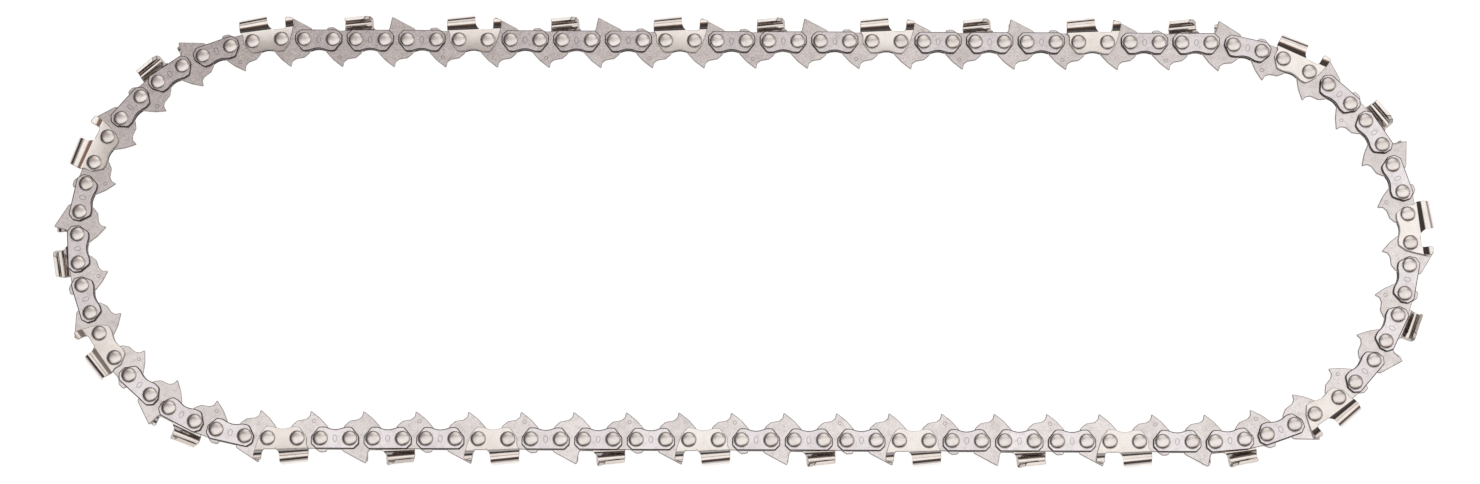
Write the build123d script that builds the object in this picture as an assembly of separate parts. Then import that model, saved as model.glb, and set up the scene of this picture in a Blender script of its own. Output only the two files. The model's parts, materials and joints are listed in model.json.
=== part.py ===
from build123d import *
import os
from math import cos, radians, sin, tan

# A closed loop of low-profile saw chain, lying on its side as it comes to rest.
# Each link is drawn in its own frame: x runs forward along the chain, y points out
# of the loop towards the cutting edges, z is across the chain, 0 at its middle plane.

# Chain measures, in millimetres
OUTER_PITCH = 10.45
DRIVE_PITCH = 8.19
GAUGE = 1.3
PLATE = 1.2
HALF_WIDTH = 3.1

# Rivets: round parts have few sides, and only the rivets that carry a joint have a hub
HEAD_RADIUS = 2.6
HEAD_HEIGHT = 0.8
HEAD_SIDES = 7
HUB_RADIUS = 2.0
HUB_PLAY = 0.08
HUB_SIDES = 12

# The loop: two straight runs and two ends. The rivets of an end bend the chain alike,
# apart from its first and last, which bend it less
UNITS = 60
END_RIVETS = 25
FIRST_RUN_RIVET = 9
EASE = 0.7
BEND = 180 / (END_RIVETS - 2 + 2 * EASE)

# Plates: tie straps, and the feet of the cutters
PLATE_END = 3.3
PLATE_TOP = 3.7
PLATE_FOOT = 4.2
WAIST = 3.0
TOP_CHAMFER = 1.8
FOOT_CHAMFER_LENGTH = 2.7
FOOT_CHAMFER_HEIGHT = 3.4

# Cutters
TOOTH_FRONT = 0.6
TOOTH_REAR = -9.5
TOOTH_HEIGHT = 9.7
TOOTH_RELIEF = 1.5
TOP_PLATE_REACH = 1.2
TOP_PLATE_FALL = 0.5
CORNER = 1.2
FILING_ANGLE = 30
GULLET_FLOOR = 3.9
GULLET_START = 2.4
GULLET_END = 7.0
DEPTH_GAUGE_HEIGHT = 8.8
DEPTH_GAUGE_LENGTH = 3.0
DEPTH_GAUGE_FALL = 1.4
SET_OUT_START = 3.9
SET_OUT_END = 6.2

# Drive links
LINK_END = 3.3
TANG_DEPTH = 10.1
BACK_HEIGHT = 3.6
HUMP_HEIGHT = 4.9
BUMPER_HEIGHT = 8.9

RIVETS = 2 * UNITS
HALF_OUTER = OUTER_PITCH / 2
HALF_DRIVE = DRIVE_PITCH / 2
INNER_FACE = GAUGE / 2
OUTER_FACE = INNER_FACE + PLATE

# The stretches of the loop. Each starts with a drive link that turns on the rivet given
# here, which is the last one of the stretch before it
RUN_LINKS = UNITS - END_RIVETS + 1
STRETCHES = {
    "top_run": FIRST_RUN_RIVET,
    "right_end": FIRST_RUN_RIVET + RUN_LINKS,
    "bottom_run": FIRST_RUN_RIVET + UNITS,
    "left_end": FIRST_RUN_RIVET + UNITS + RUN_LINKS,
}


def bend_at(rivet):
    """Angle by which the chain turns at a rivet, in degrees."""
    place_in_half = (rivet - FIRST_RUN_RIVET) % UNITS
    if 0 < place_in_half < RUN_LINKS:
        return 0
    return BEND * EASE if place_in_half in (0, RUN_LINKS) else BEND


def lay_loop():
    """Place of every rivet and heading of the link that leaves it, going clockwise."""
    x = y = heading = 0
    places = {}
    for step in range(RIVETS):
        rivet = (FIRST_RUN_RIVET + step) % RIVETS
        if step > 0:
            heading -= bend_at(rivet)
        places[rivet] = (x, y, heading)
        length = OUTER_PITCH if rivet % 2 == 0 else DRIVE_PITCH
        x += length * cos(radians(heading))
        y += length * sin(radians(heading))
    # One half of the loop is the other turned half round, so opposite rivets share a middle
    middle_x = (places[0][0] + places[UNITS][0]) / 2
    middle_y = (places[0][1] + places[UNITS][1]) / 2
    return {rivet: (x - middle_x, y - middle_y, turn) for rivet, (x, y, turn) in places.items()}


def link_frame(places, rivet):
    """Frame of the link that leaves a rivet, at the middle of its length."""
    x, y, heading = places[rivet]
    half = HALF_OUTER if rivet % 2 == 0 else HALF_DRIVE
    middle = (x + half * cos(radians(heading)), y + half * sin(radians(heading)), HALF_WIDTH)
    return Location(middle, (0, 0, heading))


def stretch_of(rivet):
    """Name of the stretch that holds the link leaving a rivet."""
    return min(STRETCHES, key=lambda name: (rivet - STRETCHES[name]) % RIVETS)


def slab(points, low, high):
    """Flat solid with the given outline."""
    return Pos(0, 0, low) * extrude(make_face(Polyline(*points, close=True)), high - low)


def rivet_head(x):
    """Peened head on the upper side, a low dome."""
    rim = Pos(x, 0, OUTER_FACE) * RegularPolygon(HEAD_RADIUS, HEAD_SIDES)
    return loft([rim.face(), Vertex(x, 0, OUTER_FACE + HEAD_HEIGHT)])


def tie_strap():
    """Strap of the upper side: chamfered ends, and a waist along the inner edge."""
    end = HALF_OUTER + PLATE_END
    points = [
        (end - FOOT_CHAMFER_LENGTH, -PLATE_FOOT),
        (end, FOOT_CHAMFER_HEIGHT - PLATE_FOOT),
        (end, PLATE_TOP - TOP_CHAMFER),
        (end - TOP_CHAMFER, PLATE_TOP),
    ]
    rear = [(-x, y) for x, y in reversed(points)]
    return slab(points + rear + [(0, -WAIST)], INNER_FACE, OUTER_FACE)


def bent_section(x):
    """Corners of a cutter's sheet at one section: foot, side plate set out from it, and top plate."""
    crown = TOOTH_HEIGHT - TOOTH_RELIEF * (TOOTH_FRONT - x) / (TOOTH_FRONT - TOOTH_REAR)
    free_edge = crown - TOP_PLATE_FALL
    side_in = HALF_WIDTH - PLATE
    below = -2 * PLATE_FOOT
    corners = [
        (OUTER_FACE, below),
        (OUTER_FACE, SET_OUT_START),
        (HALF_WIDTH, SET_OUT_END),
        (HALF_WIDTH, crown - CORNER),
        (HALF_WIDTH - CORNER, crown),
        (-TOP_PLATE_REACH, free_edge),
        (-TOP_PLATE_REACH, free_edge - PLATE),
        (side_in, crown - PLATE),
        (side_in, SET_OUT_END + PLATE / 2),
        (INNER_FACE, SET_OUT_START + PLATE / 2),
        (INNER_FACE, below),
    ]
    return [(x, y, z) for z, y in corners]


def bent_sheet(rear, front):
    """Cutter's sheet between two sections. The top plate falls towards the rear, and every side is flat."""
    first = bent_section(rear)
    last = bent_section(front)
    outlines = [first, last]
    for k in range(len(first)):
        outlines.append([first[k - 1], first[k], last[k], last[k - 1]])
    return Solid(Shell([make_face(Polyline(*points, close=True)).face() for points in outlines]))


def cutter():
    """Right-hand cutter: the bent sheet inside its side view, with the gap that the file leaves."""
    rear = -HALF_OUTER - PLATE_END
    toe = HALF_OUTER + PLATE_END / 6
    gauge = GULLET_END + 0.2
    gauge_nose = gauge + DEPTH_GAUGE_LENGTH
    above = TOOTH_HEIGHT + TOOTH_RELIEF
    filed_front = [
        (TOOTH_FRONT, above),
        (TOOTH_FRONT, TOOTH_HEIGHT),
        (TOOTH_FRONT + 0.3, SET_OUT_END),
        (GULLET_START, GULLET_FLOOR),
        (GULLET_END, GULLET_FLOOR),
    ]
    depth_gauge = [
        (gauge, DEPTH_GAUGE_HEIGHT),
        (gauge_nose, DEPTH_GAUGE_HEIGHT - DEPTH_GAUGE_FALL),
    ]
    foot = [
        (gauge + 0.7, -WAIST / 2),
        (toe, -PLATE_FOOT),
        (0, -WAIST),
        (rear + FOOT_CHAMFER_LENGTH, -PLATE_FOOT),
        (rear, FOOT_CHAMFER_HEIGHT - PLATE_FOOT),
        (rear, PLATE_TOP - TOP_CHAMFER),
        (TOOTH_REAR, PLATE_TOP),
        (TOOTH_REAR, above),
    ]
    side_view = slab(filed_front + depth_gauge + foot, -HALF_WIDTH, HALF_WIDTH)
    gap = make_face(Polyline(*filed_front, (GULLET_END, above), close=True))
    # The file crosses the chain at an angle, so the edge leads at the outer corner
    file_path = Vector(-tan(radians(FILING_ANGLE)), 0, -1)
    filed = Pos(0, 0, HALF_WIDTH) * extrude(gap, 2 * HALF_WIDTH * file_path.length, dir=file_path)
    sheet = bent_sheet(TOOTH_REAR - PLATE, gauge_nose + PLATE)
    return (sheet & side_view) - filed


def drive_link(back):
    """Middle link: a hooked tang inside the loop, and the given back outside it."""
    end = HALF_DRIVE + LINK_END
    tang = [
        (-end, -WAIST / 2),
        (-end + 0.5, -4.1),
        (-4.0, -7.3),
        (-0.4, -TANG_DEPTH),
        (0, -8.0),
        (1.3, -7.0),
        (4.2, -6.5),
        (end - 1.2, -4.8),
        (end, -WAIST / 2),
    ]
    return slab(tang + back, -INNER_FACE, INNER_FACE)


def plain_link():
    """Drive link with a low hump over its rear rivet."""
    shoulder = HALF_DRIVE + LINK_END / 2
    hump = [(-2.2, BACK_HEIGHT), (-HALF_DRIVE, HUMP_HEIGHT), (-shoulder - 0.7, HUMP_HEIGHT - 0.2)]
    return drive_link([(shoulder, BACK_HEIGHT)] + hump)


def bumper_link():
    """Drive link with a fin that rises behind the depth gauge and slopes down forward."""
    shoulder = HALF_DRIVE + LINK_END / 2
    foot_of_fin = HALF_DRIVE + LINK_END * 0.85
    fin = [(foot_of_fin, BACK_HEIGHT + 0.7), (-1.7, BUMPER_HEIGHT), (-2.7, BACK_HEIGHT)]
    return drive_link(fin + [(-shoulder, BACK_HEIGHT)])


def hub():
    """Bearing part of a front rivet, between the two outer plates."""
    return Pos(HALF_OUTER, 0, -INNER_FACE) * extrude(RegularPolygon(HUB_RADIUS, HUB_SIDES), GAUGE)


def hub_hole():
    """Hole in the rear of a drive link, wide enough for the corners of the hub that it turns on."""
    outline = RegularPolygon(HUB_RADIUS + HUB_PLAY, HUB_SIDES, major_radius=False)
    return Pos(-HALF_DRIVE, 0, -GAUGE) * extrude(outline, 2 * GAUGE)


def on_the_other_side(shape):
    return mirror(shape, Plane.XY)


def build_nodes():
    """Solids of every node, by name."""
    places = lay_loop()
    upper_strap = tie_strap()
    lower_strap = on_the_other_side(upper_strap)
    upper_cutter = cutter()
    lower_cutter = on_the_other_side(upper_cutter)
    upper_heads = [rivet_head(-HALF_OUTER), rivet_head(HALF_OUTER)]
    lower_heads = [on_the_other_side(head) for head in upper_heads]
    rivet_hub = hub()
    plain = plain_link()
    bumper = bumper_link()
    turning_bumper = bumper - hub_hole()
    nodes = {}

    def add(name, place, *shapes):
        nodes.setdefault(name, []).extend(place * shape for shape in shapes)

    for unit in range(UNITS):
        rear_rivet = 2 * unit
        front_rivet = rear_rivet + 1
        outer = link_frame(places, rear_rivet)
        drive = link_frame(places, front_rivet)
        stretch = stretch_of(rear_rivet)
        next_stretch = stretch_of(front_rivet)
        number = unit // 4 + 1
        add(f"{stretch}_rivets", outer, *upper_heads, *lower_heads)
        if unit % 4 == 0:
            add(f"right_hand_cutter_{number:02d}", outer, upper_cutter)
            add(f"{stretch}_opposite_straps", outer, lower_strap)
        elif unit % 4 == 2:
            add(f"left_hand_cutter_{number:02d}", outer, lower_cutter)
            add(f"{stretch}_opposite_straps", outer, upper_strap)
        else:
            add(f"{stretch}_tie_straps", outer, upper_strap, lower_strap)
        if front_rivet in STRETCHES.values():
            add(f"{stretch}_rivets", outer, rivet_hub)
            add(f"{next_stretch}_bumper_links", drive, turning_bumper)
        elif unit % 2 == 0:
            add(f"{next_stretch}_bumper_links", drive, bumper)
        else:
            add(f"{next_stretch}_plain_links", drive, plain)
    return nodes


os.makedirs("parts", exist_ok=True)
for name, shapes in build_nodes().items():
    solids = [solid for shape in shapes for solid in shape.solids()]
    export_step(solids[0] if len(solids) == 1 else Compound(solids), f"parts/{name}.step")
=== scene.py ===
import json
from math import acos, ceil, cos, pi, radians, sin, tan

import bpy
import numpy as np
from mathutils import Matrix, Vector
from mathutils.geometry import delaunay_2d_cdt


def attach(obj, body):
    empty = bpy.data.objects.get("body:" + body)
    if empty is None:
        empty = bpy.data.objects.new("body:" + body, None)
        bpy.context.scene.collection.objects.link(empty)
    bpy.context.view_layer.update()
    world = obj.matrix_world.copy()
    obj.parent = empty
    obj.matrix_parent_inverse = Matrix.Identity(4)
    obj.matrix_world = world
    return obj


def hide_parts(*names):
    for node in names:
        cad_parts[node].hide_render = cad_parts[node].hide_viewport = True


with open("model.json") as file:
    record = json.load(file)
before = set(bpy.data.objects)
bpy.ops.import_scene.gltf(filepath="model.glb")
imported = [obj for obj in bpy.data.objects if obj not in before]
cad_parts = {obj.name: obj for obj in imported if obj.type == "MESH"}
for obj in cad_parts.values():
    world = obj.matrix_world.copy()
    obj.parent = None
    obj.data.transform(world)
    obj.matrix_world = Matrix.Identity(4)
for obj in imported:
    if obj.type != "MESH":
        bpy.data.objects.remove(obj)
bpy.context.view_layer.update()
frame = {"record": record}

# A closed loop of saw chain. Every link is built in its own frame, in millimetres: x forward
# along the chain, y out of the loop towards the cutting edges, z across it from its middle plane.
MM = 0.001

# Chain measures, the same as those of the solids
OUTER_PITCH = 10.45
DRIVE_PITCH = 8.19
GAUGE = 1.3
PLATE = 1.2
HALF_WIDTH = 3.1
HALF_OUTER = OUTER_PITCH / 2
HALF_DRIVE = DRIVE_PITCH / 2
INNER_FACE = GAUGE / 2
OUTER_FACE = INNER_FACE + PLATE

# The loop: two straight runs and two ends. The rivets of an end bend the chain alike, apart from
# its first and last, which bend it less
UNITS = 60
RIVETS = 2 * UNITS
END_RIVETS = 25
FIRST_RUN_RIVET = 9
EASE = 0.7
BEND = 180 / (END_RIVETS - 2 + 2 * EASE)
RUN_LINKS = UNITS - END_RIVETS + 1
STRETCHES = {
    "top_run": FIRST_RUN_RIVET,
    "right_end": FIRST_RUN_RIVET + RUN_LINKS,
    "bottom_run": FIRST_RUN_RIVET + UNITS,
    "left_end": FIRST_RUN_RIVET + UNITS + RUN_LINKS,
}

# What the outer units hold in turn, all round the loop
PATTERN = ("right_hand_cutter", "tie_straps", "left_hand_cutter", "tie_straps")

# Rivets
HEAD_RADIUS = 2.8
HEAD_HEIGHT = 0.8
HEAD_FULLNESS = 2.4
HEAD_TIP = 0.02
HEAD_RINGS = 14
NECK_RADIUS = 1.7
HUB_RADIUS = 2.0
PLAY = 0.06
RIVET_SIDES = 36

# Straps and the feet of the cutters
PLATE_END = 3.3
PLATE_TOP = 3.7
PLATE_FOOT = 4.2
WAIST = 3.0
WAIST_REACH = 3.6
TOP_CHAMFER = 1.8
FOOT_CHAMFER_LENGTH = 2.7
FOOT_CHAMFER_HEIGHT = 3.4
WAIST_RADIUS = 6.0
WAIST_END_RADIUS = 2.5
FOOT_RADIUS = 1.5
LOWER_END_RADIUS = 1.6
UPPER_END_RADIUS = 1.2
TOP_RADIUS = 1.0
STRAP_EDGE = 0.44
STAMP_HALF_SIZE = (0.7, 1.2)
STAMP_LINE = 0.2
STAMP_DEPTH = 0.1
# Painted shade in the stamped lines, below zero to keep it apart from the edges
STAMP_SHADE = -1.0

# Cutters: tooth and its folds
TOOTH_FRONT = 0.6
TOOTH_REAR = -9.5
TOOTH_HEIGHT = 9.7
TOOTH_RELIEF = 1.1
FOLD_RELIEF_SHARE = 0.4
TOP_PLATE_REACH = 1.2
TOP_PLATE_FALL = 0.5
CORNER_RADIUS = 1.9
SET_OUT_START = 3.9
SET_OUT_END = 5.6
SET_OUT_RADIUS = 0.9
SIDE_RADIUS = 3.0
FOLD_SHIFT = PLATE / 6
REAR_CORNER_RADIUS = 0.3
REAR_NOTCH_RADIUS = 0.5

# Cutters: filed front, gullet and depth gauge
FILING_ANGLE = radians(30)
FILED_MARGIN = 0.3
FILED_EDGE = 0.04
# Painted shade on the filed edge
FILED_EDGE_SHADE = 0.45
CUTTING_CORNER_SHARE = 0.6
CUTTING_CORNER_RADIUS = 0.8
FACE_LEAN = 0.3
FACE_RADIUS = 2.5
GULLET_FLOOR = 3.9
GULLET_START = 2.4
GULLET_END = 7.0
GULLET_START_RADIUS = 1.2
GULLET_END_RADIUS = 0.9
DEPTH_GAUGE_HEIGHT = 8.8
DEPTH_GAUGE_LENGTH = 3.0
DEPTH_GAUGE_FALL = 1.4
DEPTH_GAUGE_LEAN = 0.2
DEPTH_GAUGE_RADIUS = 0.6
NOSE_RADIUS = 0.5
NOSE_STEP = 0.4
BROW_RADIUS = 2.5
BROW_STEP = 0.7
TOE_LENGTH = PLATE_END / 6
TOE_RADIUS = 1.0
CUTTER_EDGE = 0.17
# Painted shade on the cutter's other edges
CUTTER_EDGE_SHADE = 0.8

# Drive links
LINK_END = 3.3
LINK_REACH = HALF_DRIVE + LINK_END
SHOULDER = HALF_DRIVE + LINK_END / 2
TANG_DEPTH = 10.1
BACK_HEIGHT = 3.6
HUMP_HEIGHT = 4.9
BUMPER_HEIGHT = 8.9
LINK_EDGE = 0.32
# Painted shade on the drive links' edges
LINK_EDGE_SHADE = 0.5
LINK_STAMP_PLACE = (-1.7, -6.3)
LINK_STAMP_RADIUS = 0.6
LINK_PLAY = 0.04

# Corners of the drive links, as x, y and radius: the tang from the rear end to the front end,
# and the two kinds of back from there to the rear again
TANG = {
    "rear_end": (-LINK_REACH, -WAIST / 2, 2.0),
    "rear_cheek": (-LINK_REACH + 0.5, -4.1, 3.0),
    "rear_slope": (-4.0, -7.3, 6.0),
    "tip": (-0.4, -TANG_DEPTH, 0.35),
    "hook": (0, -8.0, 1.2),
    "throat": (1.3, -7.0, 1.2),
    "step": (4.2, -6.5, 0.9),
    "front_cheek": (LINK_REACH - 1.2, -4.8, 2.0),
    "front_end": (LINK_REACH, -WAIST / 2, 2.0),
}
HUMPED_BACK = {
    "front_shoulder": (SHOULDER, BACK_HEIGHT, 2.0),
    "foot_of_hump": (-2.2, BACK_HEIGHT, 1.5),
    "hump": (-HALF_DRIVE, HUMP_HEIGHT, 1.2),
    "rear_shoulder": (-SHOULDER - 0.7, HUMP_HEIGHT - 0.2, 1.0),
}
FINNED_BACK = {
    "foot_of_fin": (HALF_DRIVE + LINK_END * 0.85, BACK_HEIGHT + 0.7, 1.5),
    "tip_of_fin": (-1.7, BUMPER_HEIGHT, 0.4),
    "rear_of_fin": (-2.7, BACK_HEIGHT, 1.6),
    "rear_shoulder": (-SHOULDER, BACK_HEIGHT, 1.2),
}

# Fineness of the meshes
ARC_STEP = radians(10)
FOLD_STEP = radians(4)
OVAL_POINTS = 40
EDGE_SHARES = (0, 0.3, 0.65, 1)
OUTLINE_STEP = 0.35
GRID_STEP_X = 0.8
GRID_STEP_ALONG = 0.24
GRID_MARGIN = 1.0
GRID_CLEARANCE = 0.3
FILL_INSIDE = 1
FILL_TOLERANCE = 1e-7

# Steel: scales and ranges of the noise behind its tone, stains and grain, and the shares of its tints,
# among them the painted shade at edges and in recesses
PATCH_SCALE = 0.22
PATCH_RANGE = (0.3, 0.7)
PATCH_SHARE = 0.5
STAIN_SCALE = 0.5
STAIN_RANGE = (0.5, 0.75)
SPECK_RANGE = (0.3, 0.65)
ROUGHNESS_RANGE = (0.3, 0.7)
GRAIN_DEPTH = 0.05
GRAIN_SPREAD = 500
TONE_RANGE = (0.05, 0.45)
# Painted shade: a dark tint on the rounded edges of the sheets
EDGE_SHADE_TINT = (0.06, 0.042, 0.038)
EDGE_SHADE_SHARE = 0.97
# Painted shade in the stamped lines
RECESS_SHADE_TINT = (0.14, 0.115, 0.105)
RECESS_SHADE_SHARE = 0.7
EVEN = (1, 1, 1)
ROLLED = (0.12, 1.6, 1.6)

# The floor, in metres
FLOOR_SIZE = 6.0
FLOOR_DROP = 0.02 * MM
FLOOR_GREY = (0.8, 0.8, 0.8, 1)
FLOOR_SEEN_GREY = (0.5, 0.5, 0.5, 1)
FLOOR_GLOW = 0.86
WHITE = (1, 1, 1)

# The room: a bright ceiling, turned a little, whose sides fade between two sines of the angle from
# the zenith; coloured surroundings next to it; a window high in the north, which fades between two
# cosines of the angle from its middle; and a pale low wall all round
SHADE_COLOUR = (0.05, 0.042, 0.04)
CEILING_COLOUR = (1.05, 1.03, 1.02)
CEILING_TURN = radians(12)
CEILING_FADES = {"east": (0.5, 0.85), "north": (0.19, 0.25), "west": (0.28, 0.52), "south": (0.22, 0.36)}
SIDE_COLOURS = {"north": (0.28, 0.235, 0.22), "south": (0.20, 0.11, 0.07)}
SIDE_FADES = {"north": (0.40, 0.80), "south": (0.36, 0.60)}
OPPOSITE = {"north": "south", "south": "north"}
OPPOSITE_FADE = (0, 0.1)
WALL_COLOUR = (0.56, 0.54, 0.57)
WALL_DIRECTION = (0, 0.13, 1)
WALL_FADE = (0.30, 0.42)
WINDOW_COLOUR = (1.0, 0.95, 0.92)
WINDOW_TILT = radians(35)
WINDOW_TURN = radians(6)
WINDOW_FADE = (cos(radians(12)), cos(radians(21)))

# The camera looks down on the chain from in front. Its distance is in metres, its sensor in
# millimetres and its focal length in pixels of the photo
PHOTO_WIDTH = 1480
CAMERA_DISTANCE = 1.2885
CAMERA_ELEVATION = radians(80)
CAMERA_ROLL = radians(0.23)
CAMERA_AIM = Vector((-1.34, -0.97, HALF_WIDTH)) * MM
CAMERA_FOCUS = 3600
SENSOR = 36.0

random = np.random.default_rng(seed=60)


# The loop

def bend_at(rivet):
    """Angle by which the chain turns at a rivet, in degrees."""
    place_in_half = (rivet - FIRST_RUN_RIVET) % UNITS
    if 0 < place_in_half < RUN_LINKS:
        return 0
    return BEND * EASE if place_in_half in (0, RUN_LINKS) else BEND


def lay_loop():
    """Place of every rivet and heading of the link that leaves it, going clockwise."""
    x = y = heading = 0
    places = {}
    for step in range(RIVETS):
        rivet = (FIRST_RUN_RIVET + step) % RIVETS
        if step > 0:
            heading -= bend_at(rivet)
        places[rivet] = (x, y, heading)
        length = OUTER_PITCH if rivet % 2 == 0 else DRIVE_PITCH
        x += length * cos(radians(heading))
        y += length * sin(radians(heading))
    # One half of the loop is the other turned half round, so opposite rivets share a middle
    middle_x = (places[0][0] + places[UNITS][0]) / 2
    middle_y = (places[0][1] + places[UNITS][1]) / 2
    return {rivet: (x - middle_x, y - middle_y, turn) for rivet, (x, y, turn) in places.items()}


def link_frame(places, rivet):
    """Middle and heading of the link that leaves a rivet."""
    x, y, heading = places[rivet]
    half = HALF_OUTER if rivet % 2 == 0 else HALF_DRIVE
    turn = radians(heading)
    return x + half * cos(turn), y + half * sin(turn), turn


def stretch_of(rivet):
    """Name of the stretch that holds the link leaving a rivet."""
    return min(STRETCHES, key=lambda name: (rivet - STRETCHES[name]) % RIVETS)


# Outlines

def unit(vector):
    return vector / np.linalg.norm(vector)


def rounded(corners, step=ARC_STEP):
    """Closed outline through corners given as x, y and radius, each rounded by an arc."""
    corners = np.array(corners, float)
    places = corners[:, :2]
    radii = corners[:, 2]
    outline = []
    for i, (corner, radius) in enumerate(zip(places, radii)):
        if radius == 0:
            outline.append(corner)
            continue
        back = unit(places[i - 1] - corner)
        ahead = unit(places[(i + 1) % len(places)] - corner)
        half = acos(np.clip(back @ ahead, -1, 1)) / 2
        centre = corner + unit(back + ahead) * radius / sin(half)
        start = corner + back * radius / tan(half) - centre
        end = corner + ahead * radius / tan(half) - centre
        sweep = pi - 2 * half
        for t in np.linspace(0, 1, max(3, ceil(sweep / step) + 1)):
            outline.append(centre + (sin((1 - t) * sweep) * start + sin(t * sweep) * end) / sin(sweep))
    return np.array(outline)


def divided(outline, longest):
    """The same closed outline with its long straights divided."""
    parts = []
    for start, end in zip(outline, np.roll(outline, -1, axis=0)):
        count = max(1, ceil(np.linalg.norm(end - start) / longest))
        parts.append(start + (end - start) * np.linspace(0, 1, count, endpoint=False)[:, None])
    return np.concatenate(parts)


def oval(centre, half_width, half_height):
    """Closed oval outline."""
    turn = np.linspace(0, 2 * pi, OVAL_POINTS, endpoint=False)
    x = centre[0] + half_width * np.cos(turn)
    y = centre[1] + half_height * np.sin(turn)
    return np.column_stack([x, y])


def mitres(outline):
    """Directions out of a counter-clockwise outline that move its sides by one."""
    ahead = np.roll(outline, -1, axis=0) - outline
    ahead /= np.linalg.norm(ahead, axis=1)[:, None]
    side = np.column_stack([ahead[:, 1], -ahead[:, 0]])
    side_before = np.roll(side, 1, axis=0)
    return (side + side_before) / (1 + (side * side_before).sum(axis=1))[:, None]


def within(points, outline):
    """Which points lie inside an outline."""
    x, y = points.T
    found = np.zeros(len(points), bool)
    for (x0, y0), (x1, y1) in zip(outline, np.roll(outline, -1, axis=0)):
        if y0 != y1:
            found ^= ((y0 > y) != (y1 > y)) & (x < (x1 - x0) * (y - y0) / (y1 - y0) + x0)
    return found


def fill(outline, inner, grid):
    """Points and triangles that fill an outline, through the inner outlines and grid points."""
    loops = [outline] + inner
    edges = []
    for loop in loops:
        first = edges[-1][0] + 1 if edges else 0
        edges += [(first + i, first + (i + 1) % len(loop)) for i in range(len(loop))]
    points = np.concatenate(loops)
    if grid is not None:
        gaps = np.linalg.norm(grid[:, None] - points[None], axis=2).min(axis=1)
        points = np.concatenate([points, grid[within(grid, outline) & (gaps > GRID_CLEARANCE)]])
    result = delaunay_2d_cdt([Vector(p) for p in points], edges, [], FILL_INSIDE, FILL_TOLERANCE)
    _, _, triangles, sources, _, _ = result
    first_source = np.array([numbers[0] for numbers in sources])
    return points, first_source[np.array(triangles)]


# Sheets and turned shapes

class Shape:
    """Mesh of one piece. Its painted shade is above zero at edges and below zero in stamps."""

    def __init__(self, points, normals, painted_shade, triangles):
        self.points = points
        self.normals = normals
        self.painted_shade = painted_shade
        self.triangles = triangles

    def mirrored(self):
        """The same piece for the other side of the chain."""
        flip = np.array([1, 1, -1])
        return Shape(self.points * flip, self.normals * flip, self.painted_shade, self.triangles[:, ::-1])

    def moved(self, x=0, z=0):
        return Shape(self.points + np.array([x, 0, z]), self.normals, self.painted_shade, self.triangles)

    def facing_out(self):
        """The same piece with the triangles turned round that face away from their normals."""
        a, b, c = (self.points[self.triangles[:, i]] for i in range(3))
        wanted = self.normals[self.triangles].sum(axis=1)
        wrong = (np.cross(b - a, c - a) * wanted).sum(axis=1) < 0
        triangles = np.where(wrong[:, None], self.triangles[:, ::-1], self.triangles)
        return Shape(self.points, self.normals, self.painted_shade, triangles)


class Collector:
    """Shape that is put together from batches of points."""

    def __init__(self):
        self.batches = []
        self.triangles = []
        self.total = 0

    def add(self, points, normals, painted_shade):
        """Adds a batch of points and gives back their numbers."""
        self.batches.append((points, normals, np.broadcast_to(painted_shade, len(points))))
        self.total += len(points)
        return np.arange(self.total - len(points), self.total)

    def shape(self):
        points, normals, painted_shade = (np.concatenate(rows) for rows in zip(*self.batches))
        return Shape(points, normals, painted_shade, np.concatenate(self.triangles)).facing_out()


def strip(low, high):
    """Triangles between two rings of point numbers."""
    low_next = np.roll(low, -1)
    high_next = np.roll(high, -1)
    first_half = np.column_stack([low, low_next, high_next])
    second_half = np.column_stack([low, high_next, high])
    return np.concatenate([first_half, second_half])


def edge_rings(outline, thickness, edge, lean):
    """Rings of points and normals round the edge of a sheet, from its upper face to its lower one."""
    out = mitres(outline)
    side = out / np.linalg.norm(out, axis=1)[:, None]
    slant = np.arctan2(lean * side[:, 0], thickness - 2 * edge)
    rings = []
    for face in (1, -1):
        for share in EDGE_SHARES[::face]:
            turn = share * (pi / 2 + face * slant)
            reach = edge * (np.sin(turn) - 1)
            height = face * (thickness / 2 - edge + edge * np.cos(turn))
            points = np.column_stack([outline + out * reach[:, None], height])
            points[:, 0] -= lean if face < 0 else 0
            normals = np.column_stack([side * np.sin(turn)[:, None], face * np.cos(turn)])
            rings.append((points, normals))
    return rings


def face_lines(holes, stamps):
    """Outlines that a face is divided along, each with its depth below the face."""
    lines = [(oval(centre, radius, radius), 0) for centre, radius in holes]
    for stamp, half_width in stamps:
        out = mitres(stamp)
        lines += [(stamp + out * half_width, 0), (stamp, STAMP_DEPTH), (stamp - out * half_width, 0)]
    return lines


def add_face(mesh, face, height, rim, rim_numbers, holes, stamps, grid):
    """Adds one face of a sheet, inside the ring that borders it."""
    lines = face_lines(holes, stamps)
    flat, triangles = fill(rim, [line for line, depth in lines], grid)
    middles = flat[triangles].mean(axis=1)
    solid = np.ones(len(triangles), bool)
    for centre, radius in holes:
        solid &= np.linalg.norm(middles - centre, axis=1) > radius
    inside = flat[len(rim):]
    depths = np.concatenate([np.full(len(line), depth) for line, depth in lines])
    sunk = np.concatenate([depths, np.zeros(len(inside) - len(depths))])
    points = np.column_stack([inside, face * (height - sunk)])
    normals = np.broadcast_to((0.0, 0.0, face), points.shape)
    # Painted shade in the stamped lines
    painted_shade = np.where(sunk > 0, STAMP_SHADE, 0.0)
    numbers = np.concatenate([rim_numbers, mesh.add(points, normals, painted_shade)])
    mesh.triangles.append(numbers[triangles[solid]][:, ::face])


def add_hole_wall(mesh, centre, radius, thickness):
    """Adds the wall of a hole through a sheet."""
    wall = oval(centre, radius, radius)
    normals = np.column_stack([(centre - wall) / radius, np.zeros(len(wall))])
    heights = (thickness / 2, -thickness / 2)
    rings = [np.column_stack([wall, np.full(len(wall), height)]) for height in heights]
    upper, lower = (mesh.add(ring, normals, 0) for ring in rings)
    mesh.triangles.append(strip(upper, lower))


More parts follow.
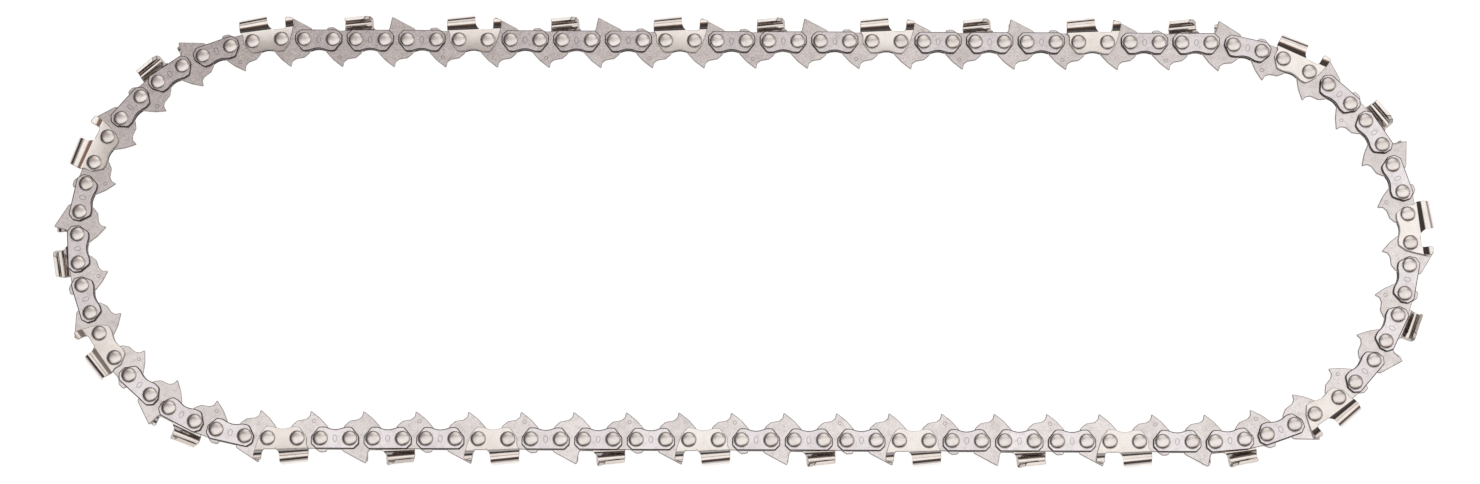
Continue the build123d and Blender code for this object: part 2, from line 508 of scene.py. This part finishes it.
def sheet(outline, thickness, edge, lean=0, edge_shade=1, holes=(), stamps=(), grid=None):
    """Flat closed sheet with rounded edges. Where it leans, the lower face stands back along x.

    Holes are given as centre and radius, stamps as outlines pressed into the upper face and half the
    width of their line."""
    mesh = Collector()
    edge = np.broadcast_to(edge, len(outline))
    lean = np.broadcast_to(lean, len(outline))
    rings = edge_rings(outline, thickness, edge, lean)
    numbers = []
    for i, (points, normals) in enumerate(rings):
        between_faces = 0 < i < len(rings) - 1
        # The rings between the two faces carry the painted edge shade
        numbers.append(mesh.add(points, normals, edge_shade * between_faces))
    for upper, lower in zip(numbers, numbers[1:]):
        mesh.triangles.append(strip(lower, upper))
    for face, ring, pressed in ((1, 0, stamps), (-1, -1, ())):
        rim = rings[ring][0][:, :2]
        add_face(mesh, face, thickness / 2, rim, numbers[ring], holes, pressed, grid)
    for centre, radius in holes:
        add_hole_wall(mesh, centre, radius, thickness)
    return mesh.shape()


def turned(profile, sides):
    """Solid turned about the z axis. The profile gives radius and height from the top down."""
    along = np.gradient(profile, axis=0)
    out = np.column_stack([-along[:, 1], along[:, 0]])
    out /= np.linalg.norm(out, axis=1)[:, None]
    turn = np.linspace(0, 2 * pi, sides, endpoint=False)
    spin = np.column_stack([np.cos(turn), np.sin(turn)])
    points = np.concatenate([np.column_stack([spin * r, np.full(sides, z)]) for r, z in profile])
    normals = np.concatenate([np.column_stack([spin * r, np.full(sides, z)]) for r, z in out])
    rings = np.arange(len(points)).reshape(len(profile), sides)
    triangles = np.concatenate([strip(low, high) for high, low in zip(rings, rings[1:])])
    return Shape(points, normals, np.zeros(len(points)), triangles).facing_out()


# Pieces of the chain

def rivet_holes(half_pitch, radius):
    """The two holes of a link, each with a little play round its rivet."""
    return [(np.array([x, 0]), radius + PLAY) for x in (-half_pitch, half_pitch)]


def tie_strap(stamped):
    """Strap of the upper side: chamfered ends, a waist along the inner edge, two rivet holes."""
    end = HALF_OUTER + PLATE_END
    half = [
        (WAIST_REACH, -PLATE_FOOT, WAIST_END_RADIUS),
        (end - FOOT_CHAMFER_LENGTH, -PLATE_FOOT, FOOT_RADIUS),
        (end, FOOT_CHAMFER_HEIGHT - PLATE_FOOT, LOWER_END_RADIUS),
        (end, PLATE_TOP - TOP_CHAMFER, UPPER_END_RADIUS),
        (end - TOP_CHAMFER, PLATE_TOP, TOP_RADIUS),
    ]
    other_half = [(-x, y, radius) for x, y, radius in reversed(half)]
    outline = rounded(half + other_half + [(0, -WAIST, WAIST_RADIUS)])
    holes = rivet_holes(HALF_OUTER, NECK_RADIUS)
    stamps = [(oval((0, 0), *STAMP_HALF_SIZE), STAMP_LINE)] if stamped else []
    strap = sheet(outline, PLATE, STRAP_EDGE, holes=holes, stamps=stamps)
    return strap.moved(z=(INNER_FACE + OUTER_FACE) / 2)


def drive_link(back, stamps=()):
    """Middle link: a hooked tang inside the loop, and the given back outside it."""
    outline = rounded([*TANG.values(), *back.values()])
    thickness = GAUGE - LINK_PLAY
    holes = rivet_holes(HALF_DRIVE, HUB_RADIUS)
    return sheet(outline, thickness, LINK_EDGE, edge_shade=LINK_EDGE_SHADE, holes=holes, stamps=stamps)


def plain_link():
    """Drive link with a low hump over its rear rivet."""
    stamp = oval(LINK_STAMP_PLACE, LINK_STAMP_RADIUS, LINK_STAMP_RADIUS)
    return drive_link(HUMPED_BACK, stamps=[(stamp, STAMP_LINE)])


def bumper_link():
    """Drive link with a fin that rises beside the depth gauge and slopes down forward."""
    return drive_link(FINNED_BACK)


class Section:
    """Middle line of a cutter's bent sheet, seen along the chain: foot, set-out, side and top plate."""

    def __init__(self):
        middle = OUTER_FACE - PLATE / 2
        set_out = HALF_WIDTH - PLATE / 2
        crown = TOOTH_HEIGHT - PLATE / 2
        start = -2 * PLATE_FOOT
        corners = [
            (start, middle, 0),
            (SET_OUT_START + FOLD_SHIFT, middle, SET_OUT_RADIUS),
            (SET_OUT_END + FOLD_SHIFT, set_out, SIDE_RADIUS),
            (crown, set_out, CORNER_RADIUS),
            (crown - TOP_PLATE_FALL, -TOP_PLATE_REACH, 0),
        ]
        self.line = rounded(corners, step=FOLD_STEP)
        ahead = np.diff(self.line, axis=0)
        self.along = start + np.concatenate([[0], np.cumsum(np.linalg.norm(ahead, axis=1))])
        self.angles = np.unwrap(np.arctan2(ahead[:, 1], ahead[:, 0]))
        self.middles = (self.along[1:] + self.along[:-1]) / 2
        self.end = self.along[-1]
        # The line rises from the foot to the fold of the top plate
        low = self.line[:, 0] <= crown - CORNER_RADIUS
        self.rising = low & (np.cumsum(~low) == 0)
        self.crown_start = self.along[self.rising][-1]

    def lift(self, x, along):
        """Share of the relief at points of the sheet, and how far it moves them.

        The top plate takes all of it, and the rivets none."""
        knots = [PLATE_TOP / 2, SET_OUT_START, self.crown_start]
        share = np.interp(along, knots, [0, FOLD_RELIEF_SHARE, 1])
        return share, share * (x - TOOTH_FRONT) * TOOTH_RELIEF / (TOOTH_FRONT - TOOTH_REAR)

    def place(self, along, off):
        """Height and depth of points given along the line and off it, and the sheet's directions there."""
        angle = np.interp(along, self.middles, self.angles)
        tangent = np.column_stack([np.cos(angle), np.sin(angle)])
        normal = np.column_stack([-tangent[:, 1], tangent[:, 0]])
        middle = np.column_stack([np.interp(along, self.along, self.line[:, i]) for i in (0, 1)])
        return middle + normal * np.reshape(off, (-1, 1)), tangent, normal

    def developed(self, x, y):
        """Place on the flat sheet of a point of the foot or side plate."""
        along = self.along[self.rising]
        heights = self.line[self.rising, 0] + self.lift(x, along)[1]
        return x, float(np.interp(y, heights, along))

    def bent(self, flat):
        """A flat sheet bent along the line, with the relief."""
        x, along, off = flat.points.T
        bent, tangent, normal = self.place(along, off)
        share, lift = self.lift(x, along)
        points = np.column_stack([x, bent[:, 0] + lift, bent[:, 1]])
        turned_normals = tangent * flat.normals[:, 1:2] + normal * flat.normals[:, 2:3]
        slope = share * TOOTH_RELIEF / (TOOTH_FRONT - TOOTH_REAR)
        normals = np.column_stack([flat.normals[:, 0] - slope * turned_normals[:, 0], turned_normals])
        normals /= np.linalg.norm(normals, axis=1)[:, None]
        return Shape(points, normals, flat.painted_shade, flat.triangles)


def cutter():
    """Right-hand cutter: one sheet, cut to its developed outline, filed at the front, then bent."""
    section = Section()
    rear = -HALF_OUTER - PLATE_END
    toe = HALF_OUTER + TOE_LENGTH
    gauge = GULLET_END + DEPTH_GAUGE_LEAN
    nose = gauge + DEPTH_GAUGE_LENGTH
    side_corners = [
        (rear, PLATE_TOP - TOP_CHAMFER, UPPER_END_RADIUS),
        (rear, FOOT_CHAMFER_HEIGHT - PLATE_FOOT, LOWER_END_RADIUS),
        (rear + FOOT_CHAMFER_LENGTH, -PLATE_FOOT, FOOT_RADIUS),
        (-WAIST_REACH, -PLATE_FOOT, WAIST_END_RADIUS),
        (0, -WAIST, WAIST_RADIUS),
        (WAIST_REACH, -PLATE_FOOT, WAIST_END_RADIUS),
        (toe, -PLATE_FOOT, TOE_RADIUS),
        (gauge + BROW_STEP, -WAIST / 2, BROW_RADIUS),
        (nose - NOSE_STEP, GULLET_FLOOR + NOSE_STEP, BROW_RADIUS),
        (nose, DEPTH_GAUGE_HEIGHT - DEPTH_GAUGE_FALL, NOSE_RADIUS),
        (gauge, DEPTH_GAUGE_HEIGHT, DEPTH_GAUGE_RADIUS),
        (GULLET_END, GULLET_FLOOR, GULLET_END_RADIUS),
        (GULLET_START, GULLET_FLOOR, GULLET_START_RADIUS),
        (TOOTH_FRONT + FACE_LEAN, SET_OUT_END, FACE_RADIUS),
    ]
    # The cutting edge leads at the corner of the two plates, and runs back across the top plate
    cutting_corner = section.crown_start + CORNER_RADIUS * CUTTING_CORNER_SHARE
    edge_end = TOOTH_FRONT - (HALF_WIDTH + TOP_PLATE_REACH) * tan(FILING_ANGLE)
    corners = [(*section.developed(x, y), radius) for x, y, radius in side_corners] + [
        (TOOTH_FRONT, cutting_corner, CUTTING_CORNER_RADIUS),
        (edge_end, section.end, 0),
        (TOOTH_REAR, section.end, REAR_CORNER_RADIUS),
        (*section.developed(TOOTH_REAR, PLATE_TOP), REAR_NOTCH_RADIUS),
    ]
    outline = divided(rounded(corners), OUTLINE_STEP)

    # The file leaves a slanting face, which fades along the edges that it runs into
    x, along = outline.T
    filed_ends = [TOOTH_REAR, edge_end, GULLET_START + FILED_MARGIN, GULLET_END]
    filed = np.interp(x, filed_ends, [0, 1, 1, 0]) * (along > GULLET_FLOOR - FILED_MARGIN)
    fully_filed = filed == 1
    lean = filed * PLATE * tan(FILING_ANGLE)
    edge = np.where(fully_filed, FILED_EDGE, CUTTER_EDGE)
    # Painted shade along the edges: less on the filed edge, none along the top plate
    plain_edge_shade = np.where(along > section.crown_start, 0, CUTTER_EDGE_SHADE)
    edge_shade = np.where(fully_filed, FILED_EDGE_SHADE, plain_edge_shade)

    grid_x = np.arange(rear, nose, GRID_STEP_X)
    grid_along = np.arange(SET_OUT_START - GRID_MARGIN, section.end, GRID_STEP_ALONG)
    grid = np.stack(np.meshgrid(grid_x, grid_along), axis=-1).reshape(-1, 2)
    holes = rivet_holes(HALF_OUTER, NECK_RADIUS)
    return section.bent(sheet(outline, PLATE, edge, lean, edge_shade, holes, grid=grid))


def rivet():
    """Whole rivet: two peened heads, necks in the outer plates, and a hub that the drive links turn on."""
    turn = np.linspace(0, pi / 2, HEAD_RINGS)
    dome_radius = HEAD_RADIUS * np.sin(turn) ** (2 / HEAD_FULLNESS)
    dome_height = OUTER_FACE + HEAD_HEIGHT * np.cos(turn) ** (2 / HEAD_FULLNESS)
    # The dome stops just short of the axis
    dome_radius[0] = HEAD_TIP
    shank = [(NECK_RADIUS, OUTER_FACE), (NECK_RADIUS, INNER_FACE), (HUB_RADIUS, INNER_FACE)]
    upper = np.concatenate([np.column_stack([dome_radius, dome_height]), shank])
    lower = upper[::-1] * np.array([1, -1])
    return turned(np.concatenate([upper, lower]), RIVET_SIDES)


# Materials

class Graph:
    """Node tree under construction."""

    # Numbers of the mix node's sockets for colours
    MIX_SHARE = 0
    MIX_FIRST = 6
    MIX_SECOND = 7
    MIX_RESULT = 2

    def __init__(self, tree):
        self.tree = tree

    def node(self, kind, inputs=None, **settings):
        """New node with the given settings, and values or links for its inputs."""
        made = self.tree.nodes.new(kind)
        for name, value in settings.items():
            setattr(made, name, value)
        for name, value in (inputs or {}).items():
            if isinstance(value, bpy.types.NodeSocket):
                self.tree.links.new(value, made.inputs[name])
            else:
                made.inputs[name].default_value = value
        return made

    def attribute(self, name, output):
        return self.node("ShaderNodeAttribute", attribute_name=name).outputs[output]

    def noise(self, place, scale, detail, roughness=0.6):
        inputs = {"Vector": place, "Scale": scale, "Detail": detail, "Roughness": roughness}
        return self.node("ShaderNodeTexNoise", inputs).outputs["Fac"]

    def between(self, value, old, new, interpolation="LINEAR"):
        """Value carried from an old range to a new one."""
        ranges = {"From Min": old[0], "From Max": old[1], "To Min": new[0], "To Max": new[1]}
        inputs = {"Value": value, **ranges}
        made = self.node("ShaderNodeMapRange", inputs, interpolation_type=interpolation)
        return made.outputs["Result"]

    def mix(self, share, first, second, blend_type="MIX"):
        """Two colours mixed, the second with the given share."""
        colours = {self.MIX_FIRST: first, self.MIX_SECOND: second}
        inputs = {self.MIX_SHARE: share}
        for socket, colour in colours.items():
            inputs[socket] = (*colour, 1) if isinstance(colour, tuple) else colour
        made = self.node("ShaderNodeMix", inputs, data_type="RGBA", blend_type=blend_type)
        return made.outputs[self.MIX_RESULT]

    def math(self, operation, first, second):
        return self.node("ShaderNodeMath", {0: first, 1: second}, operation=operation).outputs[0]


class Finish(Graph):
    """Node material under construction."""

    def __init__(self, name):
        self.material = bpy.data.materials.new(name)
        self.material.use_nodes = True
        super().__init__(self.material.node_tree)
        self.shader = self.tree.nodes["Principled BSDF"]

    def connect(self, socket, name):
        self.tree.links.new(socket, self.shader.inputs[name])


def steel(name, dark, light, stain, staining, roughness, speckle, grain_scale, grain_stretch, bump):
    """Steel with patchy tone, stains, fine grain, and painted shade: dark edges and dark recesses.

    Roughness and speckle are given as the two ends of their ranges."""
    finish = Finish(name)
    finish.shader.inputs["Metallic"].default_value = 1.0
    place = finish.attribute("grain", "Vector")
    tone = finish.attribute("tone", "Fac")
    painted_shade = finish.attribute("painted_shade", "Fac")
    stretched = finish.node("ShaderNodeMapping", {"Vector": place, "Scale": grain_stretch})
    fine = finish.noise(stretched.outputs["Vector"], grain_scale, detail=4.0, roughness=0.7)

    patches = finish.between(finish.noise(place, PATCH_SCALE, detail=2.0), PATCH_RANGE, (0.0, 1.0))
    tone = finish.math("ADD", finish.math("MULTIPLY", patches, PATCH_SHARE), tone)
    colour = finish.mix(tone, dark, light)
    stains = finish.between(finish.noise(place, STAIN_SCALE, detail=3.0), STAIN_RANGE, (0.0, staining))
    colour = finish.mix(stains, colour, stain)
    speck = finish.between(fine, SPECK_RANGE, speckle)
    grey = finish.node("ShaderNodeCombineColor", {0: speck, 1: speck, 2: speck}).outputs[0]
    colour = finish.mix(1.0, colour, grey, blend_type="MULTIPLY")
    # Painted shade: a dark tint at the edges
    edges = finish.math("MAXIMUM", finish.math("MULTIPLY", painted_shade, EDGE_SHADE_SHARE), 0.0)
    # Painted shade: a dark tint in the stamped lines
    recess_shade = finish.math("MAXIMUM", finish.math("MULTIPLY", painted_shade, -RECESS_SHADE_SHARE), 0.0)
    colour = finish.mix(edges, colour, EDGE_SHADE_TINT)
    colour = finish.mix(recess_shade, colour, RECESS_SHADE_TINT)
    finish.connect(colour, "Base Color")

    finish.connect(finish.between(fine, ROUGHNESS_RANGE, roughness), "Roughness")
    relief = finish.node("ShaderNodeBump", {"Height": fine, "Strength": bump, "Distance": GRAIN_DEPTH * MM})
    finish.connect(relief.outputs["Normal"], "Normal")
    return finish.material


STEELS = {
    "cutter_steel": steel(
        "plated_steel",
        dark=(0.80, 0.75, 0.705), light=(0.95, 0.91, 0.875), stain=(0.68, 0.59, 0.51), staining=0.3,
        roughness=(0.09, 0.16), speckle=(0.95, 1.02), grain_scale=2.0, grain_stretch=ROLLED, bump=0.02,
    ),
    "strap_steel": steel(
        "tumbled_steel",
        dark=(0.73, 0.685, 0.706), light=(0.93, 0.89, 0.91), stain=(0.58, 0.52, 0.51), staining=0.5,
        roughness=(0.12, 0.21), speckle=(0.86, 1.05), grain_scale=1.3, grain_stretch=EVEN, bump=0.17,
    ),
    "link_steel": steel(
        "matt_steel",
        dark=(0.695, 0.653, 0.642), light=(0.90, 0.856, 0.845), stain=(0.55, 0.495, 0.48), staining=0.5,
        roughness=(0.14, 0.23), speckle=(0.82, 1.07), grain_scale=1.5, grain_stretch=EVEN, bump=0.23,
    ),
    "rivet_steel": steel(
        "peened_steel",
        dark=(0.78, 0.735, 0.71), light=(0.95, 0.91, 0.885), stain=(0.64, 0.56, 0.51), staining=0.4,
        roughness=(0.19, 0.28), speckle=(0.92, 1.04), grain_scale=1.6, grain_stretch=EVEN, bump=0.08,
    ),
}


# Laying the pieces round the loop

def copies_by_node():
    """Shape and frame of every piece, under the name of the solid that it stands for."""
    places = lay_loop()
    plain_strap = tie_strap(stamped=False)
    stamped_strap = tie_strap(stamped=True)
    tooth = cutter()
    pin = rivet()
    plain = plain_link()
    bumper = bumper_link()
    copies = {}

    def add(node, shape, place):
        copies.setdefault(node, []).append((shape, place))

    for number in range(UNITS):
        outer = link_frame(places, 2 * number)
        drive = link_frame(places, 2 * number + 1)
        stretch = stretch_of(2 * number)
        next_stretch = stretch_of(2 * number + 1)
        for x in (-HALF_OUTER, HALF_OUTER):
            add(f"{stretch}_rivets", pin.moved(x=x), outer)
        kind = PATTERN[number % len(PATTERN)]
        cutter_name = f"{kind}_{number // len(PATTERN) + 1:02d}"
        if kind == "right_hand_cutter":
            add(cutter_name, tooth, outer)
            add(f"{stretch}_opposite_straps", plain_strap.mirrored(), outer)
        elif kind == "left_hand_cutter":
            add(cutter_name, tooth.mirrored(), outer)
            add(f"{stretch}_opposite_straps", stamped_strap, outer)
        else:
            add(f"{stretch}_tie_straps", stamped_strap, outer)
            add(f"{stretch}_tie_straps", plain_strap.mirrored(), outer)
        if kind == "tie_straps":
            add(f"{next_stretch}_plain_links", plain, drive)
        else:
            add(f"{next_stretch}_bumper_links", bumper, drive)
    return copies


def lay(shape, place):
    """Points and normals of a piece in the frame of the whole chain."""
    x, y, turn = place
    spin = np.array([[cos(turn), -sin(turn), 0], [sin(turn), cos(turn), 0], [0, 0, 1]])
    return shape.points @ spin.T + np.array([x, y, HALF_WIDTH]), shape.normals @ spin.T


def set_attribute(mesh, name, kind, field, values):
    """Gives the points of a mesh their values under a name."""
    mesh.attributes.new(name, kind, "POINT").data.foreach_set(field, np.concatenate(values).ravel())


def build_piece(node, copies, slot, body):
    """One object that stands for a solid of the chain, or for a group of like solids."""
    points, normals, painted_shade, triangles, tone, grain = [], [], [], [], [], []
    start = 0
    for shape, place in copies:
        laid, turned_normals = lay(shape, place)
        points.append(laid)
        normals.append(turned_normals)
        painted_shade.append(shape.painted_shade)
        triangles.append(shape.triangles + start)
        tone.append(np.full(len(laid), random.uniform(*TONE_RANGE)))
        grain.append(shape.points + random.uniform(-GRAIN_SPREAD, GRAIN_SPREAD, 3))
        start += len(laid)
    mesh = bpy.data.meshes.new(node + "_mesh")
    mesh.from_pydata(np.concatenate(points) * MM, [], np.concatenate(triangles))
    mesh.shade_smooth()
    mesh.normals_split_custom_set_from_vertices(np.concatenate(normals))
    set_attribute(mesh, "tone", "FLOAT", "value", tone)
    # Painted shade for the edges and the stamped lines, read by the steel material
    set_attribute(mesh, "painted_shade", "FLOAT", "value", painted_shade)
    set_attribute(mesh, "grain", "FLOAT_VECTOR", "vector", grain)
    mesh.materials.append(STEELS[slot])
    piece = bpy.data.objects.new("finished_" + node, mesh)
    bpy.context.scene.collection.objects.link(piece)
    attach(piece, body)
    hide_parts(node)


# Floor, room and camera

def build_floor():
    """Pale floor, white to the eye and in reflections, that keeps a soft shadow."""
    finish = Finish("pale_floor")
    tree = finish.tree
    path = finish.node("ShaderNodeLightPath")
    seen = finish.math("MAXIMUM", path.outputs["Is Camera Ray"], path.outputs["Is Glossy Ray"])
    plain = finish.node("ShaderNodeBsdfDiffuse", {"Color": FLOOR_GREY})
    shaded = finish.node("ShaderNodeBsdfDiffuse", {"Color": FLOOR_SEEN_GREY})
    white = finish.node("ShaderNodeEmission", {"Color": (*WHITE, 1), "Strength": FLOOR_GLOW})
    both = finish.node("ShaderNodeAddShader", {0: shaded.outputs[0], 1: white.outputs[0]})
    result = finish.node("ShaderNodeMixShader", {0: seen, 1: plain.outputs[0], 2: both.outputs[0]})
    tree.nodes.remove(finish.shader)
    tree.links.new(result.outputs[0], tree.nodes["Material Output"].inputs["Surface"])
    half = FLOOR_SIZE / 2
    mesh = bpy.data.meshes.new("floor_mesh")
    corners = [(-half, -half), (half, -half), (half, half), (-half, half)]
    mesh.from_pydata([(x, y, -FLOOR_DROP) for x, y in corners], [], [(0, 1, 2, 3)])
    mesh.materials.append(finish.material)
    floor = bpy.data.objects.new("floor", mesh)
    bpy.context.scene.collection.objects.link(floor)


def build_room():
    """Dusky room with a bright ceiling, a window and a pale low wall."""
    world = bpy.data.worlds.new("soft_room")
    bpy.context.scene.world = world
    world.use_nodes = True
    room = Graph(world.node_tree)
    direction = room.node("ShaderNodeTexCoord").outputs["Generated"]

    def share_before(towards, fade):
        """Share that falls from one at the fade's first value to zero at its second, going by the
        part of the direction that points towards the one given."""
        part = room.node("ShaderNodeVectorMath", {0: direction, 1: towards}, operation="DOT_PRODUCT")
        return room.between(part.outputs["Value"], fade[::-1], (0.0, 1.0), interpolation="SMOOTHSTEP")

    x, y = cos(CEILING_TURN), sin(CEILING_TURN)
    sides = {"east": (x, y, 0), "north": (-y, x, 0), "west": (-x, -y, 0), "south": (y, -x, 0)}
    colour = SHADE_COLOUR
    not_west = share_before(sides["west"], CEILING_FADES["west"])
    for side, tint in SIDE_COLOURS.items():
        not_beyond = share_before(sides[side], SIDE_FADES[side])
        on_this_side = share_before(sides[OPPOSITE[side]], OPPOSITE_FADE)
        beside = room.math("MULTIPLY", not_beyond, on_this_side)
        colour = room.mix(room.math("MULTIPLY", beside, not_west), colour, tint, blend_type="ADD")
    colour = room.mix(share_before(WALL_DIRECTION, WALL_FADE), colour, WALL_COLOUR)
    out = sin(WINDOW_TILT)
    window = (out * sin(WINDOW_TURN), out * cos(WINDOW_TURN), cos(WINDOW_TILT))
    colour = room.mix(share_before(window, WINDOW_FADE), colour, WINDOW_COLOUR)
    ceiling = 1.0
    for side, fade in CEILING_FADES.items():
        ceiling = room.math("MULTIPLY", ceiling, share_before(sides[side], fade))
    colour = room.mix(ceiling, colour, CEILING_COLOUR)
    seen = room.node("ShaderNodeLightPath").outputs["Is Camera Ray"]
    background = room.tree.nodes["Background"]
    room.tree.links.new(room.mix(seen, colour, WHITE), background.inputs["Color"])
    background.inputs["Strength"].default_value = 1.0


def build_camera():
    """Camera that looks at the chain as the photo does."""
    data = bpy.data.cameras.new("camera")
    data.sensor_width = SENSOR
    data.sensor_fit = "HORIZONTAL"
    data.lens = CAMERA_FOCUS / PHOTO_WIDTH * SENSOR
    camera = bpy.data.objects.new("camera", data)
    bpy.context.scene.collection.objects.link(camera)
    away = Vector((0, -cos(CAMERA_ELEVATION), sin(CAMERA_ELEVATION)))
    place = Matrix.Translation(CAMERA_AIM + away * CAMERA_DISTANCE)
    tilt = Matrix.Rotation(pi / 2 - CAMERA_ELEVATION, 4, "X")
    roll = Matrix.Rotation(CAMERA_ROLL, 4, "Z")
    camera.matrix_world = place @ tilt @ roll
    bpy.context.scene.camera = camera


record = frame["record"]
slot_of = {part["node"]: part["material_slot"] for part in record["subparts"]}
body_of = {node: body for body, nodes in record["behaviour"]["bodies"].items() for node in nodes}
for node, copies in sorted(copies_by_node().items()):
    build_piece(node, copies, slot_of[node], body_of[node])
build_floor()
build_room()
build_camera()
bpy.context.scene.view_settings.view_transform = "Standard"
